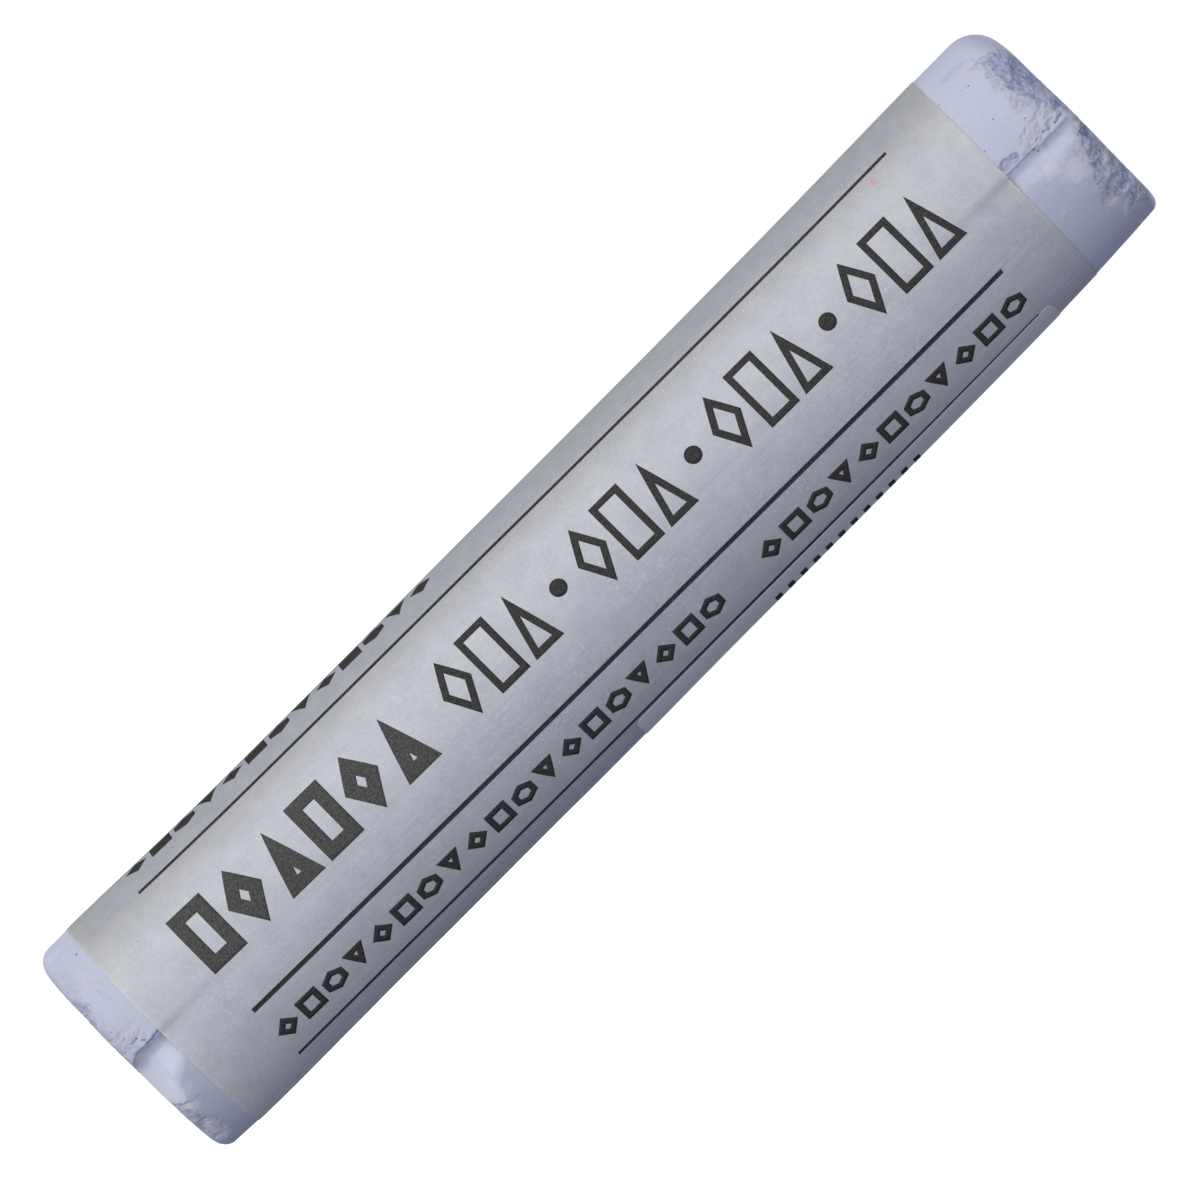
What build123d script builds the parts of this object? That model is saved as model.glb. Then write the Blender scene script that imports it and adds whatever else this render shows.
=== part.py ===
# A soft pastel stick in its paper wrapper, with a small stock sticker on the wrapper.
# The stick stands on its end: its axis is +Z, the floor is z = 0, and its seam faces -Y.
# Azimuths are degrees round the axis from -Y, positive towards +X. Lengths are millimetres.
from build123d import *

import os
from math import atan2, cos, degrees, radians, sin, sqrt

# The pressed stick
stick_diameter = 12.7
stick_length = 63.5
bottom_swell = 0.12
bottom_swell_height = 4.0
bottom_swell_end = 12.0
top_taper = 0.10
top_taper_height = 10.0
bottom_rim = 0.32
top_rim = 0.85

# The seam down the front falls from a lip to a valley, then slopes back out to the round
seam_lip = -0.22
seam_fall = 0.30
seam_width = 0.85
seam_depth = 0.16
seam_hollow = 0.05

# At the foot the seam is worn deeper and runs out in a broad flat
worn_fall = 0.90
worn_width = 2.9
worn_depth = 0.75

# The paper wrapper: one sheet, wound once and glued where it laps at the back
paper = 0.08
paper_clearance = 0.03
bare_bottom = 2.1
bare_top = 4.4
lap_azimuth = 215.0
lap_width = 4.2
lap_rise = 0.9
glue_line = 0.03

# The sticker on the wrapper, round to the right
sticker = 0.07
sticker_gum = 0.02
sticker_below_edge = 2.7
sticker_length = 28.1
sticker_width = 12.7
sticker_azimuth = 62.5
sticker_corner = 0.5

# Facets broken off the rims: azimuth, reach down the side and reach across the end face. At the
# top each break is steep at the side and has a flatter step behind it.
top_breaks = (
    (-90, 1.70, 0.45),
    (-41, 1.75, 0.50),
    (-24, 1.20, 0.62),
    (-9, 0.85, 0.40),
    (17, 0.95, 0.36),
    (30, 1.25, 0.55),
    (42, 1.70, 0.46),
    (56, 0.95, 0.34),
    (-38, 0.80, 1.30),
    (-21, 0.72, 1.15),
    (22, 0.70, 1.10),
    (37, 0.72, 1.15),
)
bottom_breaks = (
    (-48, 0.75, 0.26),
    (-31, 0.60, 0.34),
    (-8, 0.70, 0.22),
    (24, 0.95, 0.28),
    (37, 0.70, 0.36),
    (56, 1.05, 0.40),
)

# What follows from those sizes
stick_radius = stick_diameter / 2
bottom_radius = stick_radius + bottom_swell / 2
top_radius = stick_radius - top_taper
wrapper_top = stick_length - bare_top
wrapper_span = (bare_bottom, wrapper_top)
sticker_top = wrapper_top - sticker_below_edge
sticker_span = (sticker_top - sticker_length, sticker_top)
paper_face = paper_clearance + paper
lap_lift = paper + glue_line

# Heights at which the barrel's outline changes, with its radius there
stations = (
    (0, bottom_radius),
    (bottom_swell_height, stick_radius + bottom_swell),
    (bottom_swell_end, stick_radius),
    (stick_length - top_taper_height, stick_radius),
    (stick_length, top_radius),
)

# The seam's fall, width and depth at those heights
even_seam = (seam_fall, seam_width, seam_depth)
seam_sizes = [(worn_fall, worn_width, worn_depth)] + [even_seam] * (len(stations) - 1)


def angle_of(arc_length):
    """The degrees that a length takes up round the barrel."""
    return degrees(arc_length / stick_radius)


def outward(azimuth):
    """The level direction that points out of the barrel at an azimuth."""
    return Vector(sin(radians(azimuth)), -cos(radians(azimuth)), 0)


def radial_plane(azimuth):
    """The upright half plane at an azimuth: x points outward and y up."""
    out = outward(azimuth)
    return Plane(origin=(0, 0, 0), x_dir=out, z_dir=out.cross(Vector(0, 0, 1)))


def radius_at(height):
    """The barrel's radius at a height, on the straight line between its stations."""
    for (low, low_radius), (high, high_radius) in zip(stations, stations[1:]):
        if height <= high:
            return low_radius + (high_radius - low_radius) * (height - low) / (high - low)


def side(gap, bottom, top):
    """Points up the barrel's side between two heights, as (distance from the axis, height)."""
    between = [height for height, radius in stations if bottom < height < top]
    return [(radius_at(height) + gap, height) for height in (bottom, *between, top)]


def upright_section(azimuth, points):
    """A flat section that stands on a radial plane, bounded by points."""
    with BuildSketch(radial_plane(azimuth)) as section:
        with BuildLine():
            Polyline(*points, close=True)
        make_face()
    return section.sketch


def sheet_section(azimuth, back, thickness, bottom, top):
    """The upright section of a sheet that lies round the barrel, its back at a gap from the stick."""
    face = side(back + thickness, bottom, top)
    return upright_section(azimuth, side(back, bottom, top) + face[::-1])


def seam_points(radius, fall, width, depth):
    """Points across the seam's cut: outside its lip, then its valley, slope and run-out."""

    def on_round(x):
        return Vector(x, -sqrt(radius**2 - x**2))

    lip = on_round(seam_lip)
    valley = on_round(seam_lip + fall) + Vector(0, depth)
    run_out = on_round(width)
    slope = (valley + run_out) / 2 + Vector(0, seam_hollow)
    return lip * 2 - valley, valley, slope, run_out


def break_plane(radius, end, up, azimuth, reach_down, reach_across):
    """The plane of a broken facet, with its normal pointing out of the stick."""
    out = outward(azimuth)
    foot = Vector(0, 0, end) + out * (radius - reach_across)
    tilt = atan2(reach_across, reach_down)
    return Plane(origin=foot, z_dir=out * cos(tilt) + Vector(0, 0, up) * sin(tilt))


# The pastel stick
barrel = upright_section(0, side(0, 0, stick_length) + [(0, stick_length), (0, 0)])
with BuildPart() as pastel_stick:
    revolve(barrel, axis=Axis.Z)
    ends = pastel_stick.faces().filter_by(GeomType.PLANE).sort_by(Axis.Z)
    chamfer(ends[0].edges(), bottom_rim)
    fillet(ends[-1].edges(), top_rim)
    for (height, radius), sizes in zip(stations, seam_sizes):
        outside, valley, slope, run_out = seam_points(radius, *sizes)
        with BuildSketch(Plane.XY.offset(height)):
            with BuildLine():
                Line(outside, valley)
                ThreePointArc(valley, slope, run_out)
                Polyline(run_out, (run_out.X, outside.Y), outside)
            make_face()
    loft(ruled=True, mode=Mode.SUBTRACT)
    for facet in top_breaks:
        split(bisect_by=break_plane(top_radius, stick_length, 1, *facet), keep=Keep.BOTTOM)
    for facet in bottom_breaks:
        split(bisect_by=break_plane(bottom_radius, 0, -1, *facet), keep=Keep.BOTTOM)
pastel_stick.part.label = "pastel_stick"

# The wrapper: once round, up over its own start, and on as a glued flap
lap_start = lap_azimuth - angle_of(lap_rise)
first_turn = sheet_section(lap_azimuth, paper_clearance, paper, *wrapper_span)
rise_foot = sheet_section(lap_start, paper_clearance, paper, *wrapper_span)
rise_head = sheet_section(lap_azimuth, paper_clearance + lap_lift, paper, *wrapper_span)
with BuildPart() as paper_wrapper:
    revolve(first_turn, axis=Axis.Z, revolution_arc=360 - angle_of(lap_rise))
    loft([rise_foot.face(), rise_head.face()], ruled=True)
    revolve(rise_head, axis=Axis.Z, revolution_arc=angle_of(lap_width))
paper_wrapper.part.label = "paper_wrapper"

# The sticker follows the outside of the wrapper
sticker_edge = sheet_section(sticker_azimuth, paper_face + sticker_gum, sticker, *sticker_span)
with BuildPart() as side_sticker:
    revolve(sticker_edge, axis=Axis.Z, revolution_arc=angle_of(sticker_width))
    corners = [edge for edge in side_sticker.edges() if edge.length < 2 * sticker]
    fillet(corners, sticker_corner)
side_sticker.part.label = "side_sticker"

os.makedirs("parts", exist_ok=True)
for piece in (pastel_stick, paper_wrapper, side_sticker):
    export_step(piece.part, f"parts/{piece.part.label}.step")
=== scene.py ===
# A soft pastel stick in its printed paper wrapper, with a small stock sticker on the wrapper.
# It stands as the solid model stands: its axis is +Z, the floor is z = 0 and its seam faces -Y.
# Azimuths are degrees round the axis from -Y, positive towards +X. Lengths are millimetres,
# and build() takes finished points into the scene's metres.
from math import ceil, cos, pi, radians, sin

import bpy
import numpy as np
from mathutils import Matrix, Vector, noise


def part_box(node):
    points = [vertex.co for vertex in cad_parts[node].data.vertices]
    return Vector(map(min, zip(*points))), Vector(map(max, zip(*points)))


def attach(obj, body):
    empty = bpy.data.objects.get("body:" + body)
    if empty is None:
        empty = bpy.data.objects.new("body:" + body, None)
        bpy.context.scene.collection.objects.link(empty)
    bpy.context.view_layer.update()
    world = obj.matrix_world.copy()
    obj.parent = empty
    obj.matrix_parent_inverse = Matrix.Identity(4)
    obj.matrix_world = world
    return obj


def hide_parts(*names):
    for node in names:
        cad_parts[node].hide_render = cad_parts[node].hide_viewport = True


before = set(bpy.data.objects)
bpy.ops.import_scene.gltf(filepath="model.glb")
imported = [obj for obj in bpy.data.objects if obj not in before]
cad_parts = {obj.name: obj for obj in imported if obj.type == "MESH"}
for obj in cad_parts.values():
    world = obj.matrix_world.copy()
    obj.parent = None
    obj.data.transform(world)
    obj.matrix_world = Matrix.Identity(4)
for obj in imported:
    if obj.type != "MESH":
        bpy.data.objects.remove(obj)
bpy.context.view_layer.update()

MM = 0.001

# The stick's size, as the solid model has it
stick_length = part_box("pastel_stick")[1].z / MM
stick_radius = 6.35

# Its axis is a little bent: how far it stands aside where it turns, and how much of that it loses
# towards the foot and towards the top
bow_turn = 38.0
bow_most = 0.05
bow_foot = 0.205
bow_top = 0.215

# The seam down the front falls from a lip to a valley, then slopes back out to the round
seam_fall = 0.46
seam_width = 1.35
seam_depth = 0.18

# At the foot, up to foot_wear, it is worn deeper and runs out in a flat, broadest at the rim
foot_wear = 4.0
worn_fall = 0.8
worn_depth = 0.64
worn_spread = 2.0
rim_wear = 1.1
rim_spread = 0.75

# Where the seam's lip lies at each height, as an arc length from the front
seam_edge = (
    (0, 0.08), (0.45, -0.15), (2.1, -0.13), (4, -0.16), (57, -0.25), (60.4, -0.25),
    (61.3, -0.12), (63.5, -0.1),
)

# The paper, drawn tight: the photograph shows no step at its edges
paper = 0.03
paper_gap = 0.006
paper_low = 2.14
paper_high = 59.1
lap_azimuth = 215.0
lap_width = 4.2
lap_rise = 0.9
lap_play = 0.006

# Under the paper, from a margin inside its edges, the stick is slimmer by some play
hidden_margin = 0.15
hidden_play = 0.06

# Up to this azimuth either way the seam shows through the paper as a crease and as painted shade
seam_view = 30

# Light and shade painted on the paper round the stick: azimuth, share of full brightness and of a
# bluer tint painted mostly on its shaded side
paper_light_and_shade = (
    (-145, 0.82, 0.4), (-100, 0.74, 0.3), (-58, 0.71, 0.2), (-50, 0.78, 0), (-42, 0.88, 0),
    (-33, 0.97, 0.2), (-22, 1, 0.2), (-8, 0.96, 0.4), (8, 0.91, 0.7), (20, 0.88, 1),
    (30, 0.86, 1), (60, 0.84, 1), (130, 0.86, 0.6), (260, 0.82, 0.4),
)

# The sticker on the paper
sticker = 0.03
sticker_gap = 0.004
sticker_low = 28.3
sticker_high = 56.4
sticker_azimuth = 62.5
sticker_width = 12.7
sticker_corner = 0.5

# The print runs a little askew: its arc lengths from the front hold at print_middle
print_middle = 31.0
print_skew = 0.01
ink_height = 0.01
ink_root = 0.015
ink_spacing = 0.25

# The thin rules: heights of both ends, arc length and width
rules = ((5.95, 55.9, -5.85, 0.21), (5.9, 55.8, 2.8, 0.25), (5.9, 55.6, 6.71, 0.22))

# The runs of marks: heights of both ends, how many marks and the gap between them
bold_run = (5.9, 20.9, 6, 0.42)
light_run = (22.7, 55.9, 15, 0.4)
sticker_run = (37.2, 46.9, 12, 0.45)

# The small runs, with the arc length and stroke of their marks. Solid marks have no stroke.
small_runs = (
    ((5.88, 35.5, 19, 0.28), 4.76, 0.33),
    ((38.1, 55.7, 11, 0.28), 4.76, 0.33),
    ((6, 26.3, 13, 0.28), -8.25, None),
)

# Sizes of the marks across the stick, and the large ones' arc length and strokes
large_arc = -1.48
large_mark = 3.5
bold_stroke = 0.7
light_stroke = 0.36
dot = 0.9
small_mark = 1.35
sticker_mark = 1.3
sticker_arc = 8.95

# Heights and radii of the pressed barrel, worn in at its top and swollen at its foot
barrel = (
    (0, 6.39), (1, 6.42), (2.5, 6.455), (4.5, 6.45), (8, 6.39), (12, 6.35), (29, 6.35),
    (34, 6.32), (46, 6.315), (52, 6.33), (56, 6.34), (59, 6.32), (61.5, 6.26), (63.5, 6.2),
)

# How the top rim is broken. Each line gives an azimuth, how far down the side the break starts,
# the knee between its steep and its flat part (in from the side, down from the end) and how far
# in across the end it runs out.
top_break = (
    (-55, 0, 0, 0, 0),
    (-52.4, 0.34, 0.08, 0.14, 0.14),
    (-51.2, 0.96, 0.36, 0.36, 0.48),
    (-48.6, 1.16, 0.46, 0.46, 0.7),
    (-45, 1.26, 0.5, 0.56, 0.96),
    (-42.4, 1.18, 0.48, 0.54, 1.16),
    (-38, 1.36, 0.46, 0.66, 1.4),
    (-35.2, 1.46, 0.46, 0.74, 1.44),
    (-31, 1.3, 0.4, 0.66, 1.3),
    (-27.7, 1.18, 0.38, 0.6, 1.25),
    (-22, 1.3, 0.36, 0.62, 1.2),
    (-18.8, 1.16, 0.34, 0.58, 1.1),
    (-14.5, 1.1, 0.3, 0.52, 1),
    (-11.7, 0.92, 0.26, 0.46, 0.9),
    (-8, 0.66, 0.2, 0.32, 0.7),
    (-3, 0.34, 0.1, 0.16, 0.45),
    (0, 0.2, 0.07, 0.1, 0.3),
    (5, 0.24, 0.07, 0.1, 0.3),
    (8.5, 0.62, 0.14, 0.28, 0.5),
    (12, 0.78, 0.2, 0.4, 0.75),
    (16.3, 1.05, 0.28, 0.55, 0.9),
    (20.6, 1.15, 0.32, 0.6, 1.05),
    (27.7, 1.22, 0.36, 0.62, 1.15),
    (33.1, 1.22, 0.34, 0.6, 1.2),
    (37, 1.46, 0.38, 0.64, 1.15),
    (40, 1.44, 0.36, 0.58, 1.1),
    (45.4, 1.2, 0.32, 0.5, 1),
    (50.5, 0.8, 0.24, 0.4, 0.8),
    (57.8, 0.9, 0.24, 0.36, 0.7),
    (61.5, 0.36, 0.1, 0.16, 0.36),
    (64, 0, 0, 0, 0),
)
bottom_break = (
    (-62, 0, 0, 0, 0),
    (-58, 0.5, 0.14, 0.2, 0.3),
    (-48, 0.8, 0.2, 0.26, 0.46),
    (-40, 0.7, 0.2, 0.28, 0.5),
    (-36, 0.5, 0.26, 0.3, 0.7),
    (-31, 0.62, 0.38, 0.36, 0.95),
    (-27, 0.5, 0.26, 0.24, 0.7),
    (-20, 0.36, 0.12, 0.16, 0.34),
    (-12, 0.55, 0.16, 0.22, 0.4),
    (-5, 0.7, 0.18, 0.24, 0.44),
    (0, 0.6, 0.2, 0.2, 0.5),
    (10, 0.3, 0.4, 0.12, 0.8),
    (22, 0.3, 0.2, 0.12, 0.4),
    (29, 0.5, 0.18, 0.26, 0.55),
    (32.5, 0.95, 0.3, 0.34, 0.7),
    (36, 0.55, 0.2, 0.24, 0.44),
    (39, 0.48, 0.16, 0.2, 0.4),
    (44, 0.55, 0.18, 0.22, 0.4),
    (49, 1.02, 0.3, 0.3, 0.5),
    (57, 0.94, 0.28, 0.28, 0.46),
    (64, 1.02, 0.26, 0.28, 0.4),
    (70, 0.4, 0.12, 0.16, 0.26),
    (74, 0, 0, 0, 0),
)

# Cracks and gouges in the bare stick: azimuth and height of both ends, half width and depth
gouges = (
    (-32.2, 1.4, -29, 1.47, 0.035, 0.05),
    (-29, 1.47, -25.6, 1.58, 0.03, 0.045),
    (-36.5, 1.62, -33, 1.8, 0.03, 0.035),
    (-37.8, 1.5, -35, 1.68, 0.03, 0.035),
    (-4.9, 0.67, -4.8, 0.86, 0.035, 0.12),
    (-4.8, 0.86, -5.1, 1.06, 0.035, 0.14),
    (-5.1, 1.06, -6.1, 1.09, 0.025, 0.07),
    (-6.1, 0.5, -6.2, 0.54, 0.04, 0.08),
    (-3.2, 1.22, -1.7, 1.35, 0.025, 0.11),
    (-37, 0.16, -33, 0.36, 0.055, 0.07),
    (-33, 0.36, -30, 0.62, 0.045, 0.08),
    (-31, 0.18, -27.5, 0.26, 0.05, 0.06),
    (-26.5, 0.1, -23.5, 0.34, 0.06, 0.07),
    (-0.5, 1.3, -0.5, 1.61, 0.04, 0.14),
    (-0.8, 1.73, -1.2, 2.2, 0.05, 0.12),
    (52, 0.55, 55, 0.75, 0.05, 0.05),
    (-2, 59.15, -1.2, 59.36, 0.04, 0.08),
    (-1.2, 59.36, -1.8, 59.62, 0.035, 0.06),
    (-1, 59.78, -1.6, 60.06, 0.04, 0.07),
    (-1.7, 60.2, -1.1, 60.42, 0.03, 0.06),
    (-3.3, 60.8, -3, 61.1, 0.03, 0.07),
    (-3.2, 61.2, -3.6, 61.5, 0.03, 0.08),
    (-5, 59.1, -6.4, 59.24, 0.035, 0.09),
    (-6.4, 59.24, -7.8, 59.44, 0.035, 0.1),
    (-7.8, 59.44, -7.7, 59.6, 0.035, 0.11),
    (-7.7, 59.6, -6.4, 59.78, 0.03, 0.09),
    (-6.4, 59.8, -6.8, 60.04, 0.035, 0.09),
    (-6.8, 60.04, -5.6, 60.22, 0.03, 0.09),
    (-5.6, 59.86, -4.7, 60.1, 0.03, 0.07),
    (-1.6, 60.55, -1.4, 60.63, 0.045, 0.13),
    (-1.4, 60.89, -1.1, 60.97, 0.045, 0.14),
    (0.6, 61.03, 0.8, 61.07, 0.04, 0.1),
    (-6.8, 60.75, -9.4, 61, 0.05, 0.055),
    (-8.6, 61.13, -10.4, 61.37, 0.045, 0.06),
    (-3.8, 61.85, -2.7, 62.16, 0.035, 0.1),
    (-4, 62.25, -5, 62.55, 0.13, 0.07),
    (-2.5, 62.56, -3.4, 63.11, 0.045, 0.13),
)

# Darker smudges, and shade painted into hollows: azimuth, height, half width round, half height and
# strength
smears_and_shade = (
    (-36, 0.16, 5, 0.1, 0.35),
    (-25, 0.14, 3.5, 0.11, 0.45),
    (-15, 0.18, 3.5, 0.12, 0.35),
    (41, 0.4, 2.2, 0.16, 0.4),
    (-2.8, 59.6, 0.9, 0.45, 0.5),
    (-2.7, 60.5, 0.8, 0.45, 0.45),
    (-3, 61.9, 0.9, 0.6, 0.4),
    (-3.6, 62.9, 0.8, 0.3, 0.6),
    (-33.5, 63, 3, 0.26, 0.8),
    (-27.5, 62.64, 3.2, 0.14, 0.95),
    (-32.5, 62.3, 1.8, 0.12, 0.7),
    (-16, 62.75, 4, 0.24, 0.5),
    (-46.5, 62.25, 1.3, 0.2, 0.7),
    (-57.8, 60.3, 2.4, 1.05, 0.28),
    (-56.8, 61.3, 2.3, 0.55, 0.28),
    (-53.5, 61.95, 3, 0.13, 0.36),
    (18.5, 62.62, 2.6, 0.2, 0.6),
    (24, 62.4, 2.2, 0.16, 0.85),
    (25, 62.75, 2.6, 0.14, 0.6),
    (37, 62.85, 2, 0.14, 0.5),
)

# How much shade is painted on the rougher end's break, deepest on the left, by azimuth
break_shade = ((-44, 0.52), (-36, 0.44), (-24, 0.4), (0, 0.2), (20, 0.0))

# Rounding of the rims where they are whole: azimuth and radius
top_rounding = (
    (-96, 1.7), (-75, 1.8), (-49, 1.3), (0, 0.6), (60, 0.5), (95, 0.5), (180, 1.1),
    (264, 1.7),
)
bottom_rounding = ((-96, 0.85), (-80, 0.88), (0, 0.3), (80, 0.68), (180, 0.7), (264, 0.85))

# Soft powdery rubs on the stick: azimuth, height, half width round, half height and strength
rubs = (
    (-52, 61.1, 6, 1, 1),
    (-43, 62.05, 5, 0.35, 0.8),
    (-30, 62.15, 11, 0.42, 1),
    (-9.5, 61.9, 6.5, 1.15, 0.95),
    (10.5, 60.9, 4.6, 0.6, 1),
    (19, 61.7, 6.5, 0.75, 0.9),
    (30.5, 59.8, 1.4, 0.3, 0.7),
    (44, 61.9, 9, 0.5, 0.8),
    (58, 62.2, 6, 0.4, 0.7),
    (-43, 1.2, 13, 0.8, 0.6),
    (-14, 0.9, 9, 0.85, 0.5),
    (34, 0.55, 7, 0.5, 1),
    (56, 0.62, 12, 0.55, 1),
)

# Paler stretches, partly the clean pastel and partly painted light, in the same form
clean_and_lit = (
    (-84, 1, 22, 2.2, 0.45),
    (34, 0.6, 7, 0.5, 0.8),
    (47, 0.45, 12, 0.4, 0.9),
    (62, 0.6, 9, 0.6, 0.9),
    (7, 60.8, 5, 2.2, 0.6),
    (10.5, 60.9, 5, 0.65, 0.85),
    (19.5, 61.6, 6, 0.75, 0.8),
    (17, 62.45, 4, 0.35, 0.6),
    (46, 61.9, 5, 0.35, 0.9),
    (56, 62, 5, 0.3, 0.85),
    (30, 62.8, 24, 0.8, 0.35),
    (48, 62.8, 10, 0.7, 0.55),
    (27, 0.8, 5, 0.8, 0.6),
)

# Ovals flaked off beside the seam: arc length, height, half width round and half height
flakes = ((-0.58, 59.46, 0.28, 0.36), (-0.5, 59.98, 0.24, 0.28))

# Spots on the paper: azimuth, height, radius, strength and colour
stain = (0.66, 0.28, 0.33)
smudge = (0.36, 0.42, 0.62)
paper_spots = (
    (-45.2, 54.5, 0.12, 0.34, stain),
    (-43.4, 54.46, 0.18, 0.34, stain),
    (-42.4, 54.52, 0.15, 0.34, stain),
    (-46.6, 56.7, 0.22, 0.3, smudge),
    (-60.4, 3.6, 0.2, 0.3, smudge),
    (-35, 4.4, 0.06, 0.5, (0.2, 0.2, 0.25)),
)

# Specks of unmixed pigment on the bare stick: azimuth, height and radius
specks = (
    (-43.6, 60.9, 0.055), (-44.8, 60.5, 0.035), (-22.9, 60.58, 0.055), (-13, 61.66, 0.05),
    (5.2, 61.33, 0.085), (-15.2, 59.22, 0.05), (-48, 59.3, 0.05), (-37, 59.6, 0.03),
    (2, 59.9, 0.035), (-55.5, 1.8, 0.08),
)


def table(rows, at):
    """Each column after the first of a listed table, read off between its lines at a value."""
    columns = np.array(rows, float).T
    return [np.interp(at, columns[0], column) for column in columns[1:]]


def smooth(share):
    """0 below 0, 1 above 1 and an even rise between."""
    share = np.clip(share, 0, 1)
    return share * share * (3 - 2 * share)


def hump(offset, width):
    """A bell of height 1 that falls to a third at the width."""
    return np.exp(-((offset / width) ** 2))


def spaced(*spans):
    """Values along one or more (start, stop, spacing) spans, each without its last value."""
    parts = [
        np.linspace(start, stop, max(1, round(abs(stop - start) / gap)), endpoint=False)
        for start, stop, gap in spans
    ]
    return np.concatenate(parts)


def grain(points, size):
    """Noise of about -1 to 1 at points (an array that ends in x, y, z) with lumps of a size."""
    flat = (points.reshape(-1, 3) / size).tolist()
    values = [noise.noise(place, noise_basis="PERLIN_ORIGINAL") for place in flat]
    return np.array(values).reshape(points.shape[:-1])


def arc_of(azimuth):
    """The length round the stick from the front to an azimuth."""
    return stick_radius * np.radians(azimuth)


def angle_of(arc):
    """The degrees that a length takes up round the stick."""
    return np.degrees(arc / stick_radius)


def from_edge(height):
    """How far inside the paper's nearer edge a height lies, or 0 outside it."""
    return np.maximum(np.minimum(height - paper_low, paper_high - height), 0)


def bow(height):
    """How far the stick's axis bends aside, towards +X, at a height."""
    below = np.clip((bow_turn - height) / 37.0, 0, 1.03)
    above = np.clip((height - bow_turn) / 23.5, 0, 1.09)
    return bow_most - bow_foot * below**4.5 - bow_top * above**3


def around(azimuth, radius, height):
    """Points at an azimuth, radius and height on the bowed axis, as an array of x, y, z."""
    turn = np.radians(azimuth)
    x = radius * np.sin(turn) + bow(height)
    y = -radius * np.cos(turn)
    return np.stack(np.broadcast_arrays(x, y, height), axis=-1)


def seen(azimuth, height, side=1):
    """The azimuth, counted from the straight axis, of a place on the bowed stick. With a side of
    -1 it goes the other way."""
    return azimuth + side * angle_of(bow(height) * np.cos(np.radians(azimuth)))


def barrel_radius(height):
    """The whole barrel's radius at a height."""
    return table(barrel, height)[0]


def seam_relief(azimuth, height):
    """How far the seam stands out of the round, where its worn flat lies at the foot, paler partly in
    its own colour and partly as painted light, and how much shade is painted into its valley. From
    a crumbly lip it falls to a valley, and a slope leads back out."""
    arc = arc_of(azimuth)
    foot = np.clip(1 - height / foot_wear, 0, 1)
    at_rim = smooth((rim_wear - height) / 0.6)
    fall = seam_fall + (worn_fall - seam_fall) * foot
    width = seam_width + worn_spread * foot**1.9 + rim_spread * at_rim
    depth = seam_depth + (worn_depth - seam_depth) * foot
    along = np.stack(np.broadcast_arrays(0 * arc, 3.0, height), axis=-1)
    edge = table(seam_edge, height)[0] + 0.05 * grain(along, 0.45) + 0.035 * grain(along, 0.12)
    away = np.maximum(arc - edge, 0)
    fallen = 1 - np.exp(-((away / ((0.42 - 0.07 * foot) * fall)) ** 1.3))
    valley = edge + fall
    run = np.clip((arc - valley) / (width - valley), 0, 1)
    drop = -depth * fallen * (1 - run) ** (1.6 - 0.5 * foot)
    sag = foot * np.clip((arc - valley) * (width - arc), 0, None) / (2 * stick_radius)
    crumbs = 0.55 + 0.9 * grain(along + (9.0, 0, 0), 0.16)
    lip = 0.045 * hump(arc - edge + 0.12, 0.11) * np.clip(crumbs, 0, 2) * (1 - foot)
    # The worn flat is painted paler: partly its own clean colour, partly painted light
    flat = smooth((arc - valley) / 0.4 + 0.5) * smooth((1 - run) / 0.4) * smooth(2.5 * foot)
    patchy = np.clip(0.55 + 0.8 * grain(around(azimuth, stick_radius, height), 0.22), 0, 1)
    # Painted shade in the valley under the lip
    shade = 0.45 * (1 - 0.6 * foot) * patchy * smooth(away / 0.04) * hump(away, 0.55 * fall)
    return drop - sag + lip, flat, shade


def gouged(azimuth, height):
    """How deep the cracks and gouges are, and the shade painted into them by depth, from 0 to 1."""
    depth = np.zeros(height.shape)
    dark = np.zeros(height.shape)
    arc = arc_of(azimuth)
    ragged = 1 + 0.9 * grain(around(azimuth, stick_radius, height), 0.12)
    darkest = 0.13
    for start, low, end, high, width, deep in gouges:
        first = np.array((arc_of(start), low))
        run = np.array((arc_of(end), high)) - first
        share = np.clip(((arc - first[0]) * run[0] + (height - first[1]) * run[1]) / (run @ run), 0, 1)
        away = np.hypot(arc - first[0] - share * run[0], height - first[1] - share * run[1])
        inside = smooth(1.5 - away / (width * np.clip(ragged, 0.3, 2)))
        depth = np.maximum(depth, deep * inside)
        dark = np.maximum(dark, inside * min(1.0, (deep / darkest) ** 2))
    return depth, dark


def patches(points, rows):
    """How much of a soft patch with a torn edge lies at each point."""
    azimuth = np.degrees(np.arctan2(points[..., 0], -points[..., 1]))
    torn = 0.5 * grain(points, 0.9) + 0.4 * grain(points, 0.3)
    cover = np.zeros(azimuth.shape)
    for centre, level, half_round, half_high, strength in rows:
        away = np.hypot((azimuth - centre) / half_round, (points[..., 2] - level) / half_high)
        cover = np.maximum(cover, strength * smooth(1.15 - away + torn))
    return cover


def placed(name, data):
    """A new object of a mesh, lamp or camera, in the scene."""
    item = bpy.data.objects.new(name, data)
    bpy.context.scene.collection.objects.link(item)
    return item


def mesh_of(name, verts, faces):
    """A new mesh object from points in millimetres."""
    mesh = bpy.data.meshes.new(name)
    mesh.from_pydata((np.asarray(verts, float) * MM).tolist(), [], faces)
    return placed(name, mesh)


def build(name, verts, faces, slot):
    """A smooth mesh piece that rides on the one body."""
    piece = mesh_of(name, verts, faces)
    piece.data.validate()
    piece.data.shade_smooth()
    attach(piece, "root")
    return piece


def mark(piece, name, values):
    """Stores a value at each vertex of a piece, for its material."""
    layer = piece.data.attributes.new(name, "FLOAT", "POINT")
    layer.data.foreach_set("value", np.asarray(values, np.float32).ravel())


def numbered(grid):
    """The number of each vertex of a grid of points."""
    rows, columns = grid.shape[:2]
    return np.arange(rows * columns).reshape(rows, columns)


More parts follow.
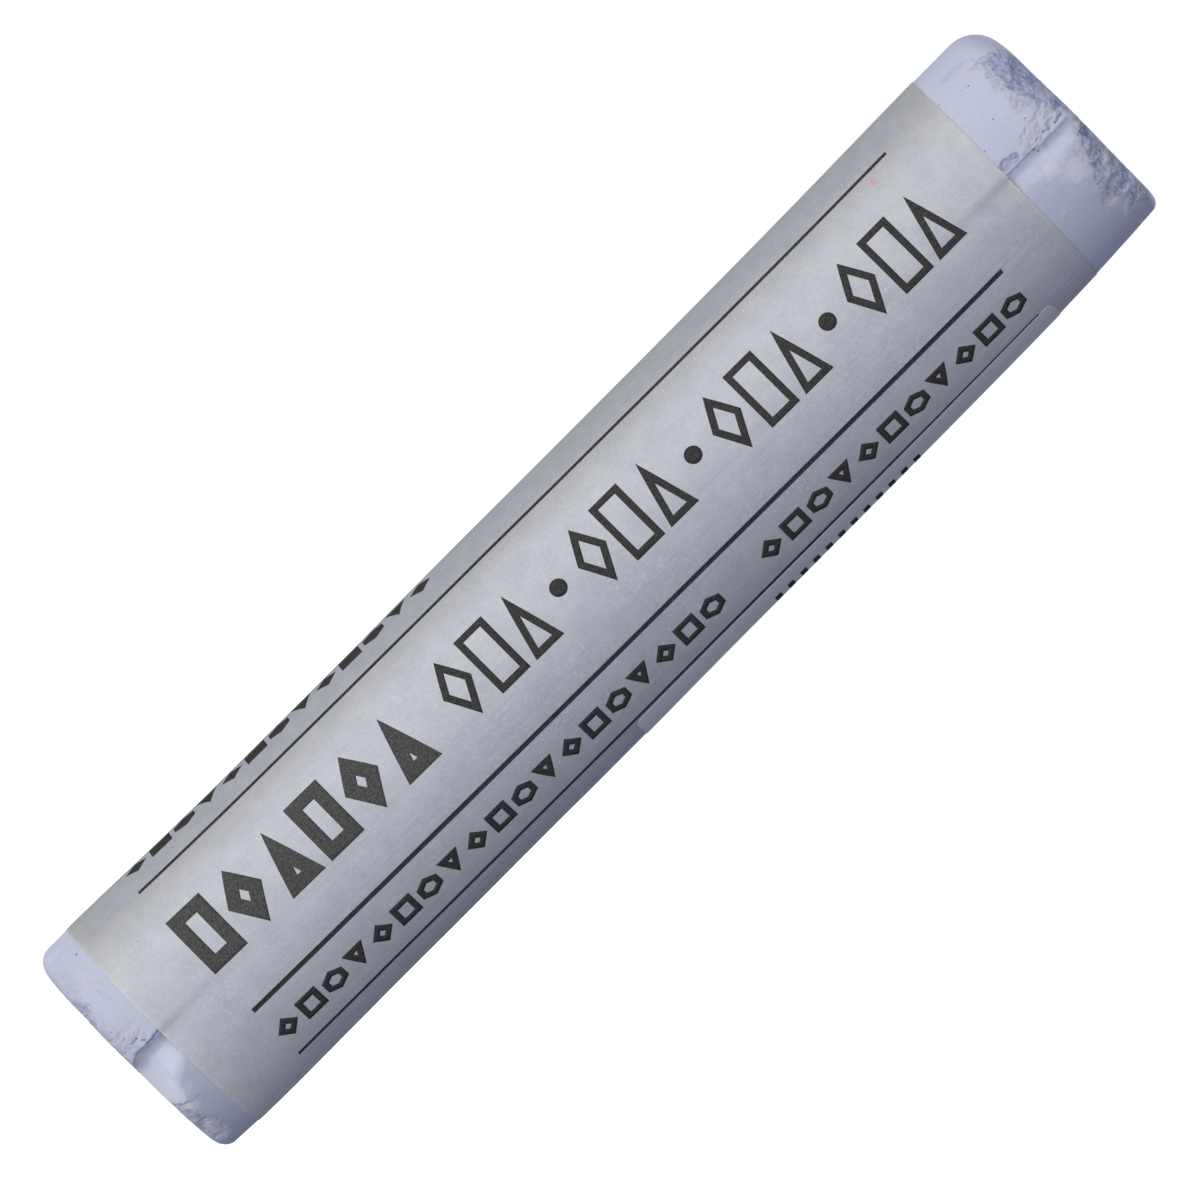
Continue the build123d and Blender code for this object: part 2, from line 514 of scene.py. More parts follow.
def ring_faces(index):
    """Faces between neighbouring rows of a numbered grid that closes on itself."""
    after = np.roll(index, -1, axis=1)
    quads = np.stack([index[:-1], after[:-1], after[1:], index[1:]], axis=-1)
    return quads.reshape(-1, 4).tolist()


class End:
    """One end of the stick, met by rays from inside it: rows from the end face's middle out to
    the rim and along the side. Depth is measured from the end face into the stick."""

    def __init__(self, radius, inset, side_end, breaks, rounding, roughness):
        pivot = radius - inset
        across = spaced((0.35, pivot, 0.36))
        corner = spaced((pivot, radius, 0.1))
        side = spaced((0, inset, 0.055))
        tail = spaced((inset, side_end, 0.1))
        starts = [(r, inset) for r in across]
        starts += [(pivot, inset)] * (len(corner) + len(side))
        starts += [(pivot, depth) for depth in tail]
        targets = [(r, 0.0) for r in (*across, *corner)]
        targets += [(radius, depth) for depth in (*side, *tail)]
        self.radius = radius
        self.start = np.array(starts)[:, None, :]
        run = np.array(targets)[:, None, :] - self.start
        self.reach = np.linalg.norm(run, axis=-1)
        self.way = run / self.reach[..., None]
        self.breaks = breaks
        self.rounding = rounding
        self.roughness = roughness

    def whole(self, azimuth):
        """How far along its ray each point of the unbroken, rounded end lies."""
        round_off = table(self.rounding, azimuth)[0]
        centre = np.stack([self.radius - round_off, round_off], axis=-1)
        offset = self.start - centre
        along = (offset * self.way).sum(-1)
        inside = along**2 - (offset**2).sum(-1) + round_off**2
        met = np.sqrt(np.maximum(inside, 0)) - along
        hit = self.start + met[..., None] * self.way
        beyond = (hit - centre) * np.array((1, -1))
        rounded = (inside > 0) & (beyond > 0).all(-1)
        return np.where(rounded, met, np.broadcast_to(self.reach, met.shape))

    def wall(self, relief):
        """How far along its ray each point of the side lies, moved out by a relief."""
        outward = self.way[..., 0]
        met = (self.radius + relief - self.start[..., 0]) / np.maximum(outward, 0.02)
        return np.where(outward > 0.02, met, np.inf)

    def cut(self, foot, head):
        """How far along its ray each point of a straight cut between two edge lines lies."""
        rise = foot - head
        normal = np.stack([rise[..., 1], -rise[..., 0]], axis=-1)
        facing = (normal * self.way).sum(-1)
        met = (normal * (foot - self.start)).sum(-1) / np.maximum(facing, 1e-6)
        return np.where(facing > 1e-6, met, np.inf)

    def broken(self, azimuth):
        """How far along its ray each point of the broken rim lies, far out where it is whole."""
        down, knee_in, knee_down, across = table(self.breaks, azimuth)
        foot = np.stack([self.radius + 0 * down, down], axis=-1)
        knee = np.stack([self.radius - knee_in, knee_down], axis=-1)
        head = np.stack([self.radius - across, 0 * down], axis=-1)
        met = np.minimum(self.cut(foot, knee), self.cut(knee, head))
        return np.where(down > 0.01, met, np.inf)

    def places(self, distance):
        """Radius and depth at a distance along each ray."""
        point = self.start + distance[..., None] * self.way
        return point[..., 0], point[..., 1]


def worn(azimuth, height):
    """Handling marks on the bare pastel: how far each point stands out, how scuffed it is and how
    much shade is painted into its hollows, darker with depth."""
    arc = arc_of(azimuth)
    skin = around(azimuth, stick_radius, height)
    slanted = np.stack([arc + 0.75 * height, 0.22 * (height - arc), 0 * arc], axis=-1)
    relief = 0.008 * grain(skin, 1.6) + 0.005 * grain(skin, 0.4)

    # Flakes off beside the seam
    away = np.full(height.shape, np.inf)
    for middle, level, half_round, half_high in flakes:
        here = np.hypot((arc - middle) / half_round, (height - level) / half_high)
        away = np.minimum(away, here)
    flake = smooth((1.1 - away) / 0.3)
    flaky = 0.05 * grain(skin, 0.2) + 0.03 * grain(skin, 0.1)
    relief -= flake * (0.06 + flaky)
    # Painted shade in the flaked hollows, darker where deeper
    flake_shade = flake * np.clip(0.62 + 6 * flaky, 0, 0.85)

    # A scuffed triangle with slanted scales, left of the seam at the top
    edge = -0.55 - 0.62 * (height - 60.5) + 0.25 * grain(skin, 0.5)
    scuffed = smooth((arc - edge) / 0.35) * smooth((-0.16 - arc) / 0.06)
    scuffed *= smooth((height - 60.3) / 0.3)
    scale_level = 0.05
    scales = 0.055 * (grain(slanted, 0.11) + 0.7 * grain(slanted, 0.22)) + 0.03 * grain(skin, 0.3)
    relief -= scuffed * (scale_level + scales)
    # Painted shade between the scales, where they lie deeper
    crease_shade = 0.55 * scuffed * smooth(scales / 0.06)

    # A crumbled strip left of the seam at the foot
    crumbled = smooth((arc + 1.45) / 0.25) * smooth((-0.12 - arc) / 0.06)
    crumbled *= smooth((2.0 - height) / 0.5)
    pits = 0.04 * grain(skin, 0.3) + 0.035 * grain(slanted, 0.13) + 0.02 * grain(skin, 0.12)
    relief -= crumbled * (0.04 + pits)
    # Painted shade in the deeper pits
    pitted = 0.35 * crumbled * smooth((pits - 0.01) / 0.04)

    depth, dark = gouged(azimuth, height)
    for hollows in (flake_shade, crease_shade, pitted):
        dark = np.maximum(dark, hollows)
    return relief - depth, np.maximum(scuffed, 0.45 * crumbled), dark


def end_points(end, azimuth, place):
    """Points of one end, with how broken, how powdery, how pale (partly clean pastel, partly painted
    light), how much shade and darker smudging is painted on, darker with depth, and how grey the
    surface is at each. place turns a depth into a height."""
    turned = seen(azimuth, place(0.0))
    whole = end.whole(turned)
    radius, depth = end.places(whole)
    height = place(depth)
    columns = np.broadcast_to(turned, height.shape)
    sideways = np.broadcast_to(end.way[..., 0], height.shape) ** 2

    # The whole surface moves with its marks and the seam
    relief, scuffed, dark = worn(columns, height)
    scuffed = scuffed * sideways
    seam, flat, shade = seam_relief(columns, height)
    relief = relief + seam
    # Painted shade in cracks, flaked hollows, scales, pits and the seam's valley, on the sides only
    shade_and_smears = np.maximum(dark, shade) * sideways
    whole = np.minimum(whole + sideways * np.maximum(relief, 0), end.wall(relief))

    # The broken faces are lumpy
    skin = around(columns, radius, height)
    cut = end.broken(columns + 2.5 * grain(skin, 0.6) + 1.2 * grain(skin, 0.22))
    near = np.isfinite(cut) & (cut < whole + 0.6)
    radius, depth = end.places(np.where(near, cut, 0))
    spots = around(columns, radius, place(depth))[near]
    lumps = 0.17 * grain(spots, 0.9) + 0.095 * grain(spots, 0.38)
    fine = 0.06 * grain(spots, 0.19) + 0.03 * grain(spots, 0.1)
    fine -= 0.05 * np.abs(grain(spots, 0.3))
    lumps, fine = end.roughness * lumps, end.roughness * fine
    cut[near] += lumps + fine
    rough = np.zeros(cut.shape)
    rough[near] = lumps + 1.6 * fine

    # Round them runs a crumbling margin
    torn = 0.6 * grain(skin, 0.5)
    margin = smooth(1.1 - (cut - whole) / (0.26 * end.roughness) + torn)
    margin *= np.isfinite(cut) & (cut < whole + 0.45)
    crumbling = grain(skin, 0.17)
    whole = whole - margin * end.roughness * (0.05 + 0.08 * crumbling)

    # The deeper of the two surfaces shows, moved out to the barrel's own radius
    broken = smooth((whole - cut) / 0.06)
    radius, depth = end.places(np.minimum(whole, cut))
    radius = radius * barrel_radius(place(depth)) / end.radius
    height = np.clip(place(depth), 0, stick_length)
    points = around(azimuth, radius, height)

    # Shade painted on the breaks: by azimuth on the rougher end only, and in the low spots of every
    # break
    rougher_end = smooth(2 * end.roughness - 1.2)
    deep = rougher_end * table(break_shade, columns)[0] + smooth((-rough - 0.02) / 0.14)
    shade_and_smears = np.maximum(shade_and_smears * (1 - broken), broken * np.clip(deep, 0, 1))
    # Darker smudges, and shade painted into hollows
    shade_and_smears = np.maximum(shade_and_smears, patches(points, smears_and_shade))
    crumbs = broken * smooth((rough - 0.03) / 0.12)
    loose = np.maximum(np.maximum(scuffed, crumbs), 0.9 * margin * (1 - broken))
    powder = np.maximum(loose, patches(points, rubs))
    # Paler patches, partly clean pastel and partly painted light
    pale = np.maximum(flat, patches(points, clean_and_lit))
    grey = margin * (1 - broken) * np.clip(0.7 + crumbling, 0, 1) * rougher_end
    return points, np.maximum(broken, 0.7 * margin), powder, pale, shade_and_smears, grey


def pastel_stick():
    """The bare stick, whole under its paper, with its rims broken as they are."""
    azimuth = spaced((-96, -12, 0.62), (-12, 12, 0.35), (12, 96, 0.62), (96, 264, 2.5))
    top = End(barrel_radius(stick_length), 2.6, 5.4, top_break, top_rounding, roughness=1.0)
    foot = End(barrel_radius(0), 2.0, 3.0, bottom_break, bottom_rounding, roughness=0.55)
    top_rows = end_points(top, azimuth, lambda depth: stick_length - depth)
    foot_rows = end_points(foot, azimuth, lambda depth: 1.0 * depth)

    # The middle and the edges just under the paper are out of sight
    middle_height = spaced((57.6, 3.6, 2.0))[:, None]
    middle = around(azimuth, barrel_radius(middle_height) - hidden_play, middle_height)
    plain = np.zeros(middle.shape[:2])
    for end_rows in (top_rows, foot_rows):
        sunk = end_rows[0]
        under = smooth((from_edge(sunk[..., 2]) - hidden_margin) / 0.1)
        sunk[..., :2] *= (1 - hidden_play * under / stick_radius)[..., None]

    rows = [
        np.concatenate([above, between, below[::-1]])
        for above, between, below in zip(top_rows, (middle, *[plain] * 5), foot_rows)
    ]
    points = rows[0]
    index = numbered(points)
    hubs = [(bow(stick_length), 0, stick_length), (bow(0.0), 0, 0)]
    faces = [face[::-1] for face in ring_faces(index)]
    for ring, hub in ((index[0], index.size), (index[-1, ::-1], index.size + 1)):
        faces += [(here, after, hub) for here, after in zip(ring, np.roll(ring, -1))]
    stick = build("stick", np.concatenate([points.reshape(-1, 3), hubs]), faces, "pastel")
    for name, values in zip(("broken", "powder", "pale", "shade_and_smears", "grey"), rows[1:]):
        mark(stick, name, np.append(values.ravel(), (0, 0)))
    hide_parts("pastel_stick")
    return stick


def seam_shadow(azimuth, height):
    """How much shade is painted on the paper over the seam's valley: most near the paper's ends."""
    arc = arc_of(seen(azimuth, height))
    fading = 0.08 + 0.92 * np.exp(-from_edge(height) / 3.5)
    return hump(arc - 0.15, 0.28) * fading * (np.abs(azimuth) < seam_view)


def paper_skin(azimuth, height, lift=0.0):
    """Points on the paper's outer face, or a lift above it."""
    arc = arc_of(seen(azimuth, height))
    crease = np.exp(-from_edge(height) / 3.2) * (np.abs(azimuth) < seam_view)
    folds = 0.055 * hump(arc - 0.12, 0.2) + 0.035 * hump(arc - 0.55, 0.4)
    folds -= 0.012 * hump(arc + 0.3, 0.2)
    radius = barrel_radius(height) + paper_gap + paper - crease * folds
    skin = around(azimuth, radius, height)
    wave = 0.01 * grain(skin * (1, 1, 0.35), 2.2)
    return around(azimuth, radius + wave + lift, height)


def sheet_grid(outer, inner):
    """Vertices and faces of a closed thin sheet from its outer and inner grids."""
    here = numbered(outer)
    under = here + here.size
    rim = np.concatenate([here[0, :-1], here[:-1, -1], here[-1, :0:-1], here[:0:-1, 0]])
    after = np.roll(rim, -1)
    quads = []
    for corners in (
        (here[:-1, :-1], here[:-1, 1:], here[1:, 1:], here[1:, :-1]),
        (under[:-1, :-1], under[1:, :-1], under[1:, 1:], under[:-1, 1:]),
        (after, rim, rim + here.size, after + here.size),
    ):
        quads += np.stack([corner.ravel() for corner in corners], -1).tolist()
    return np.concatenate([outer.reshape(-1, 3), inner.reshape(-1, 3)]), quads


def crisp(piece):
    """Keeps the folds of a piece sharp and the rest of it smooth."""
    fold = 40
    piece.data.set_sharp_from_angle(angle=radians(fold))


def paper_marks(azimuth, height):
    """What the paper's finish goes by: its tone, which is light and shade painted round and along it,
    how cool it is, which is a bluer tint painted where it is shaded, and how near its ends and its
    cut edges each point lies."""
    tone, cool = table(paper_light_and_shade, azimuth)
    edge = from_edge(height)
    # Painted light: brighter low down right of the front, a little brighter high on the right and
    # towards the foot; painted shade round the middle on the right and over the seam
    painted_light_low = np.exp(-(height - paper_low) / 5.0) * smooth((azimuth + 8) / 22)
    painted_light_high = smooth((height - 42) / 14) * smooth((azimuth - 20) / 20)
    painted_shade_middle = hump(height - print_middle, 13) * smooth((azimuth - 4) / 10)
    tone = tone * (1 + 0.16 * painted_light_low + 0.04 * painted_light_high + 0.025 * (print_middle - height) / 28)
    tone = tone * (1 - 0.05 * painted_shade_middle) * (1 - 0.19 * seam_shadow(azimuth, height))
    # A bluer tint painted on the shaded side, less of it low down on the right
    cool = cool * (1 - 0.6 * smooth((print_middle - height) / 20) * smooth((azimuth - 8) / 12))
    upper = 0.8 * smooth((azimuth + 12) / 14) * smooth((45 - azimuth) / 15)
    return {
        "tone": tone,
        "cool": cool,
        "end_zone": np.exp(-edge / 0.9),
        "cut_edge": np.exp(-edge / 0.07) * np.where(height < print_middle, 1, upper),
    }


def paper_wrapper():
    """The sheet, once round the stick, up over its own start and on as a glued flap."""
    rise = angle_of(lap_rise)
    last = lap_azimuth + angle_of(lap_width)
    azimuth = spaced((lap_azimuth - 360, -30, 2.0), (-30, 30, 0.75), (30, last, 2.0))
    azimuth = np.append(azimuth, last)
    near_end = spaced((0, 1.2, 0.12), (1.2, 6.0, 0.4))
    middle = spaced((paper_low + 6, paper_high - 6, 1.2))
    height = np.concatenate([paper_low + near_end, middle, (paper_high - near_end)[::-1]])
    azimuth, height = np.meshgrid(azimuth, height)

    # Its edges are a little frayed, and the upper one is a little out of square
    spots = around(azimuth, stick_radius, height)
    frayed = 0.03 * grain(spots, 0.5) + 0.018 * grain(spots, 0.16)
    slant = np.where(height > print_middle, 0.0015 * np.clip(-azimuth, -90, 90), 0.0)
    at_edge = 1 - smooth(from_edge(height) / 0.5)
    height = height + at_edge * (frayed + slant)

    over = smooth((azimuth - lap_azimuth + rise) / rise) * (paper + lap_play)
    outer = paper_skin(azimuth, height, over)
    inner = paper_skin(azimuth, height, over - paper)
    wrapper = build("wrapper", *sheet_grid(outer, inner), "wrapper_paper")
    for name, values in paper_marks(azimuth, height).items():
        mark(wrapper, name, np.tile(values.ravel(), 2))
    crisp(wrapper)
    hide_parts("paper_wrapper")
    return wrapper


def fine_ended(length, gap):
    """Places along a length, a gap apart and much closer near both its ends."""
    end, close = 0.6, 0.06
    places = spaced((0, end, close), (end, length - end, gap), (length - end, length, close))
    return np.append(places, length)


def side_sticker():
    """The stock sticker, wrapped round the paper to the right."""
    share = fine_ended(sticker_width, 0.3) / sticker_width
    share, rise = np.meshgrid(share, fine_ended(sticker_high - sticker_low, 0.7))
    height = sticker_low + rise
    to_end = np.minimum(rise, sticker_high - height)
    short = np.clip(sticker_corner - to_end, 0, sticker_corner)
    trim = sticker_corner - np.sqrt(np.maximum(sticker_corner**2 - short**2, 0))
    arc = trim + share * (sticker_width - 2 * trim)
    azimuth = sticker_azimuth + angle_of(arc)
    outer = paper_skin(azimuth, height, sticker_gap + sticker)
    inner = paper_skin(azimuth, height, sticker_gap)
    label = build("sticker", *sheet_grid(outer, inner), "sticker_paper")
    crisp(label)
    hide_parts("side_sticker")
    return label


def polygon(*corners):
    """Corner points of a mark, in shares of its width and height from its middle."""
    return np.array(corners, float)


def oval():
    """A round mark."""
    points = 24
    turn = np.linspace(0, 2 * pi, points, endpoint=False)
    return np.stack([np.cos(turn), np.sin(turn)], -1) / 2


lozenge = polygon((0.5, 0), (0, 0.5), (-0.5, 0), (0, -0.5))
block = polygon((0.5, -0.5), (0.5, 0.5), (-0.5, 0.5), (-0.5, -0.5))
hexagon = polygon((0.5, -0.25), (0.5, 0.25), (0, 0.5), (-0.5, 0.25), (-0.5, -0.25), (0, -0.5))
peak = polygon((0.5, -0.5), (0, 0.5), (-0.5, -0.5))
valley = polygon((-0.5, 0.5), (0, -0.5), (0.5, 0.5))


def inset(corners, stroke):
    """The corners of a convex mark moved inwards by a stroke."""
    before = corners - np.roll(corners, 1, axis=0)
    after = np.roll(before, -1, axis=0)
    normals = []
    for edge in (before, after):
        turned = np.stack([-edge[:, 1], edge[:, 0]], -1)
        normals.append(turned / np.linalg.norm(turned, axis=1, keepdims=True))
    total = normals[0] + normals[1]
    scale = 1 + (normals[0] * normals[1]).sum(1, keepdims=True)
    return corners + total / scale * stroke


class Ink:
    """Marks printed on the paper, gathered into one thin piece."""

    def __init__(self, lift=0.0):
        self.verts = []
        self.faces = []
        self.lift = lift

    def strip(self, outer, inner):
        """A flat mark between an outer and an inner loop of corners, as (height, arc) points."""
        width = np.linalg.norm(outer - inner, axis=1).max()
        sides = np.linalg.norm(outer - np.roll(outer, -1, axis=0), axis=1)
        pieces = max(1, ceil(sides.max() / ink_spacing))
        shares = np.linspace(0, 1, pieces, endpoint=False)[None, :, None]
        loops = []
        for loop in (outer, inner):
            after = np.roll(loop, -1, axis=0)
            loops.append((loop[:, None] * (1 - shares) + after[:, None] * shares).reshape(-1, 2))
        rings = max(1, ceil(width / ink_spacing))
        across = np.linspace(0, 1, rings + 1)[:, None, None]
        flat = loops[0][None] * (1 - across) + loops[1][None] * across
        root = self.wrapped(flat, -ink_root)
        grid = np.concatenate([self.wrapped(flat, ink_height), root[::-1]])
        index = numbered(grid) + sum(len(part) for part in self.verts)
        self.faces += ring_faces(np.concatenate([index, index[:1]]))
        self.verts.append(grid.reshape(-1, 3))

    def wrapped(self, flat, lift):
        """Points of the flat print laid on the paper."""
        height = flat[..., 0]
        arc = flat[..., 1] + print_skew * (height - print_middle)
        azimuth = np.degrees(arc / (stick_radius + paper))
        return paper_skin(azimuth, height, self.lift + lift)

    def glyph(self, shape, middle, size, stroke=None):
        """One mark: solid, or an outline of a stroke."""
        core = 0.02
        outer = np.array(middle) + shape * np.array(size)
        inner = inset(outer, stroke) if stroke else np.array(middle) + shape * core
        self.strip(outer, inner)

    def bar(self, low, high, arc, width):
        """A straight rule between two heights."""
        self.glyph(block, ((low + high) / 2, arc), (high - low, width), width * 0.49)

    def piece(self, name, slot):
        """The finished piece."""
        return build(name, np.concatenate(self.verts), self.faces, slot)


def run_of(low, high, count, gap):
    """Middles and width of marks that share a run between two heights evenly."""
    width = (high - low - gap * (count - 1)) / count
    return [low + width / 2 + k * (width + gap) for k in range(count)], width


def print_rules():
    """Three thin rules along the stick."""
    ink = Ink()
    for rule in rules:
        ink.bar(*rule)
    return ink.piece("print_rules", "wrapper_paper")


def print_bold():
    """A bold run of plain shapes."""
    ink = Ink()
    middles, width = run_of(*bold_run)
    for height, shape in zip(middles, (block, lozenge, valley) * 2):
        ink.glyph(shape, (height, large_arc), (width, large_mark), bold_stroke)
    return ink.piece("print_bold", "wrapper_paper")


def print_light():
    """A long lighter run of outlined shapes with a small solid one after every third."""
    ink = Ink()
    middles, width = run_of(*light_run)
    for k, height in enumerate(middles):
        middle = (height, large_arc)
        if k % 4 == 3:
            ink.glyph(oval(), middle, (dot, dot))
        else:
            ink.glyph((lozenge, block, valley)[k % 4], middle, (width, large_mark), light_stroke)
    return ink.piece("print_light", "wrapper_paper")


def print_small():
    """Small even runs between the rules and over to the left."""
    ink = Ink()
    order = (lozenge, block, hexagon, peak)
    for run, arc, stroke in small_runs:
        middles, width = run_of(*run)
        for k, height in enumerate(middles):
            ink.glyph(order[k % 4], (height, arc), (width, small_mark), stroke)
    return ink.piece("print_small", "wrapper_paper")


def sticker_marks():
    """A short run of bars on the sticker."""
    ink = Ink(sticker_gap + sticker)
    middles, width = run_of(*sticker_run)
    for height in middles:
        ink.glyph(block, (height, sticker_arc), (width, sticker_mark))
    return ink.piece("sticker_marks", "sticker_paper")


class Nodes:
    """The node tree of a material or a world, with short ways to add what they share."""

    def __init__(self, owner):
        owner.use_nodes = True
        self.owner = owner
        self.tree = owner.node_tree
        self.coordinates = self.add("ShaderNodeTexCoord")
        self.place = self.coordinates.outputs["Object"]

    def feed(self, socket, value):
        """Links a socket to another node's output, or sets it to a number or a colour."""
        if isinstance(value, bpy.types.NodeSocket):
            self.tree.links.new(value, socket)
        else:
            socket.default_value = (*value, 1) if socket.type == "RGBA" else value

    def feed_all(self, node, inputs):
        """Feeds a node's inputs, each by its name or number."""
        for name, value in inputs.items():
            self.feed(node.inputs[name], value)

    def add(self, kind, inputs=None, **settings):
        """A new node with its settings, its inputs fed."""
        node = self.tree.nodes.new(kind)
        for name, value in settings.items():
            setattr(node, name, value)
        self.feed_all(node, inputs or {})
        return node

    def noise(self, size, detail=2.0, rough=0.5, stretch=(1, 1, 1)):
        """Soft noise with lumps of a size in millimetres."""
        mapping = self.add("ShaderNodeMapping", {"Vector": self.place, "Scale": stretch})
        inputs = {"Vector": mapping.outputs[0], "Scale": 1 / (size * MM)}
        inputs |= {"Detail": detail, "Roughness": rough}
        return self.add("ShaderNodeTexNoise", inputs).outputs["Fac"]

    def ramp(self, value, low, high):
        """0 at low, 1 at high, smooth between."""
        inputs = {"Value": value, "From Min": low, "From Max": high}
        node = self.add("ShaderNodeMapRange", inputs, interpolation_type="SMOOTHSTEP")
        return node.outputs["Result"]

    def math(self, operation, first, second):
        """A sum, product or the like of two values."""
        return self.add("ShaderNodeMath", {0: first, 1: second}, operation=operation).outputs[0]

    def times(self, first, second):
        """The product of two values."""
        return self.math("MULTIPLY", first, second)

    def mix(self, share, first, second, blend="MIX"):
        """A first tone that gives way to a second by a share."""
        inputs = {"Factor": share, "A": first, "B": second}
        node = self.add("ShaderNodeMix", inputs, data_type="RGBA", blend_type=blend)
        return node.outputs["Result"]

    def tint(self, tone, colour, share=1.0):
        """A tone multiplied by a colour, by a share."""
        return self.mix(share, tone, colour, "MULTIPLY")

    def stored(self, name):
        """The value that mark() stored under a name."""
        return self.add("ShaderNodeAttribute", attribute_name=name).outputs["Fac"]

    def bump(self, height, depth, **others):
        """Raises the surface by a height map of a depth in millimetres."""
        inputs = {"Distance": depth * MM, "Height": height} | others
        return self.add("ShaderNodeBump", inputs).outputs["Normal"]

    def spot(self, azimuth, height, radius):
        """One soft round spot on the stick or its paper."""
        centre = around(seen(azimuth, height, -1), barrel_radius(height), height) * MM
        away = self.add("ShaderNodeVectorMath", {0: self.place, 1: centre}, operation="DISTANCE")
        return self.ramp(away.outputs["Value"], radius * 1.3 * MM, radius * 0.6 * MM)

    def specks(self, size, share, reach):
        """Small round specks: a share of the cells of a size holds one."""
        inputs = {"Vector": self.place, "Scale": 1 / (size * MM)}
        cells = self.add("ShaderNodeTexVoronoi", inputs, feature="F1")
        split = self.add("ShaderNodeSeparateColor", {0: cells.outputs["Color"]})
        chosen = self.math("LESS_THAN", split.outputs[0], share)
        return self.times(chosen, self.ramp(cells.outputs["Distance"], reach, reach * 0.5))

    def matte(self, tone, roughness, **others):
        """The finished material: matte, of a tone and a roughness, and what else it needs."""
        inputs = {"Base Color": tone, "Roughness": roughness, "Specular IOR Level": 0.0}
        self.feed_all(self.tree.nodes["Principled BSDF"], inputs | others)
        return self.owner


def pastel_finish():
    """Pressed chalk: matte, dusty, with pale rubs, fine pits and specks of unmixed pigment, with shade
    painted into its hollows and light painted on paler patches.
    """
    nodes = Nodes(bpy.data.materials.new("pastel"))
    broken = nodes.stored("broken")
    powder = nodes.stored("powder")

    # The pressed skin, the broken faces, and the clean flat and paler patches, partly painted light
    tone = nodes.mix(nodes.noise(1.4, 3), (0.497, 0.528, 0.655), (0.533, 0.563, 0.688))
    grit = nodes.ramp(nodes.noise(0.09, 2, 0.6), 0.25, 0.75)
    tone = nodes.mix(0.13, tone, nodes.mix(grit, (0.33, 0.36, 0.5), (0.75, 0.77, 0.86)))
    torn = nodes.mix(nodes.noise(0.16, 3, 0.6), (0.45, 0.48, 0.63), (0.55, 0.58, 0.71))
    tone = nodes.mix(broken, tone, torn)
    tone = nodes.mix(nodes.stored("pale"), tone, (0.655, 0.685, 0.815))

    # Grey margins, warm dust, shade painted into hollows with darker smudges, and specks
    tone = nodes.tint(tone, (0.8, 0.8, 0.805), nodes.stored("grey"))
    patchy = nodes.ramp(nodes.noise(0.16, 3), 0.3, 0.56)
    tone = nodes.tint(tone, (1.04, 1.015, 0.935), nodes.times(powder, patchy))
    # Painted shade in hollows, cracks and the seam's valley, with darker smudges
    tone = nodes.mix(nodes.times(nodes.stored("shade_and_smears"), 0.75), tone, (0.22, 0.25, 0.46))
    marks = nodes.specks(0.42, 0.06, 0.13)
    for place in specks:
        marks = nodes.math("MAXIMUM", marks, nodes.spot(*place))
    tone = nodes.mix(nodes.times(marks, 0.75), tone, (0.13, 0.15, 0.4))

    fine = nodes.bump(nodes.noise(0.08, 3, 0.6), 0.014)
    loose = nodes.math("MAXIMUM", broken, nodes.times(powder, 0.45))
    pitted = nodes.bump(nodes.times(nodes.noise(0.2, 4, 0.7), loose), 0.1, Normal=fine)
    return nodes.matte(tone, 0.95, Normal=pitted)


def paper_finish():
    """Thin greyish wrapping paper that lets the stick show through in clouds, with fine fibres,
    pale flecks and a few stains, and light and shade painted round and along it."""
    nodes = Nodes(bpy.data.materials.new("paper"))
    cool = nodes.stored("cool")

    # Clouds, cream spots and ends, and fibres
    clouds = nodes.ramp(nodes.noise(1.2, 4, 0.62), 0.3, 0.7)
    tone = nodes.mix(clouds, (0.488, 0.504, 0.542), (0.545, 0.557, 0.59))
    cream = nodes.times(nodes.ramp(nodes.noise(0.8, 3), 0.6, 0.74), 0.38)
    warm = nodes.math("ADD", cream, nodes.times(nodes.stored("end_zone"), 0.35))
    tone = nodes.mix(warm, tone, (0.575, 0.575, 0.555))
    fibres = nodes.noise(0.11, 3, 0.65, (1, 1, 0.6))
    tone = nodes.mix(nodes.times(nodes.ramp(fibres, 0.3, 0.7), 0.13), tone, (0.95, 0.95, 0.95))

    # Pale flecks and scuffs crowd where the paper is cool
    crowded = nodes.ramp(nodes.noise(3.5), 0.38, 0.62)
    crowded = nodes.times(crowded, nodes.math("ADD", cool, 0.25))
    flecks = nodes.times(nodes.specks(0.24, 0.4, 0.34), nodes.times(crowded, 0.4))
    tone = nodes.mix(flecks, tone, (0.72, 0.71, 0.65))
    scuffs = nodes.ramp(nodes.noise(0.22, 3, 0.6), 0.56, 0.68)
    scuffs = nodes.times(scuffs, nodes.times(crowded, 0.65))
    tone = nodes.mix(scuffs, tone, (0.68, 0.69, 0.7))

    # The stored tone, which is painted light and shade, the cut edges and the spots
    grey = nodes.stored("tone")
    shade = nodes.add("ShaderNodeCombineColor", {0: grey, 1: grey, 2: grey})
    tone = nodes.tint(tone, shade.outputs[0])
    # A bluer tint painted on the paper's shaded side
    tone = nodes.tint(tone, (0.975, 1.0, 1.065), cool)
    tone = nodes.mix(nodes.times(nodes.stored("cut_edge"), 0.6), tone, (0.66, 0.66, 0.63))
    for *place, strength, colour in paper_spots:
        tone = nodes.mix(nodes.times(nodes.spot(*place), strength), tone, colour)

    drawn = nodes.bump(nodes.noise(0.4, 3, 0.6, (1, 1, 0.05)), 0.03)
    return nodes.matte(tone, 0.62, Normal=nodes.bump(fibres, 0.01, Normal=drawn))


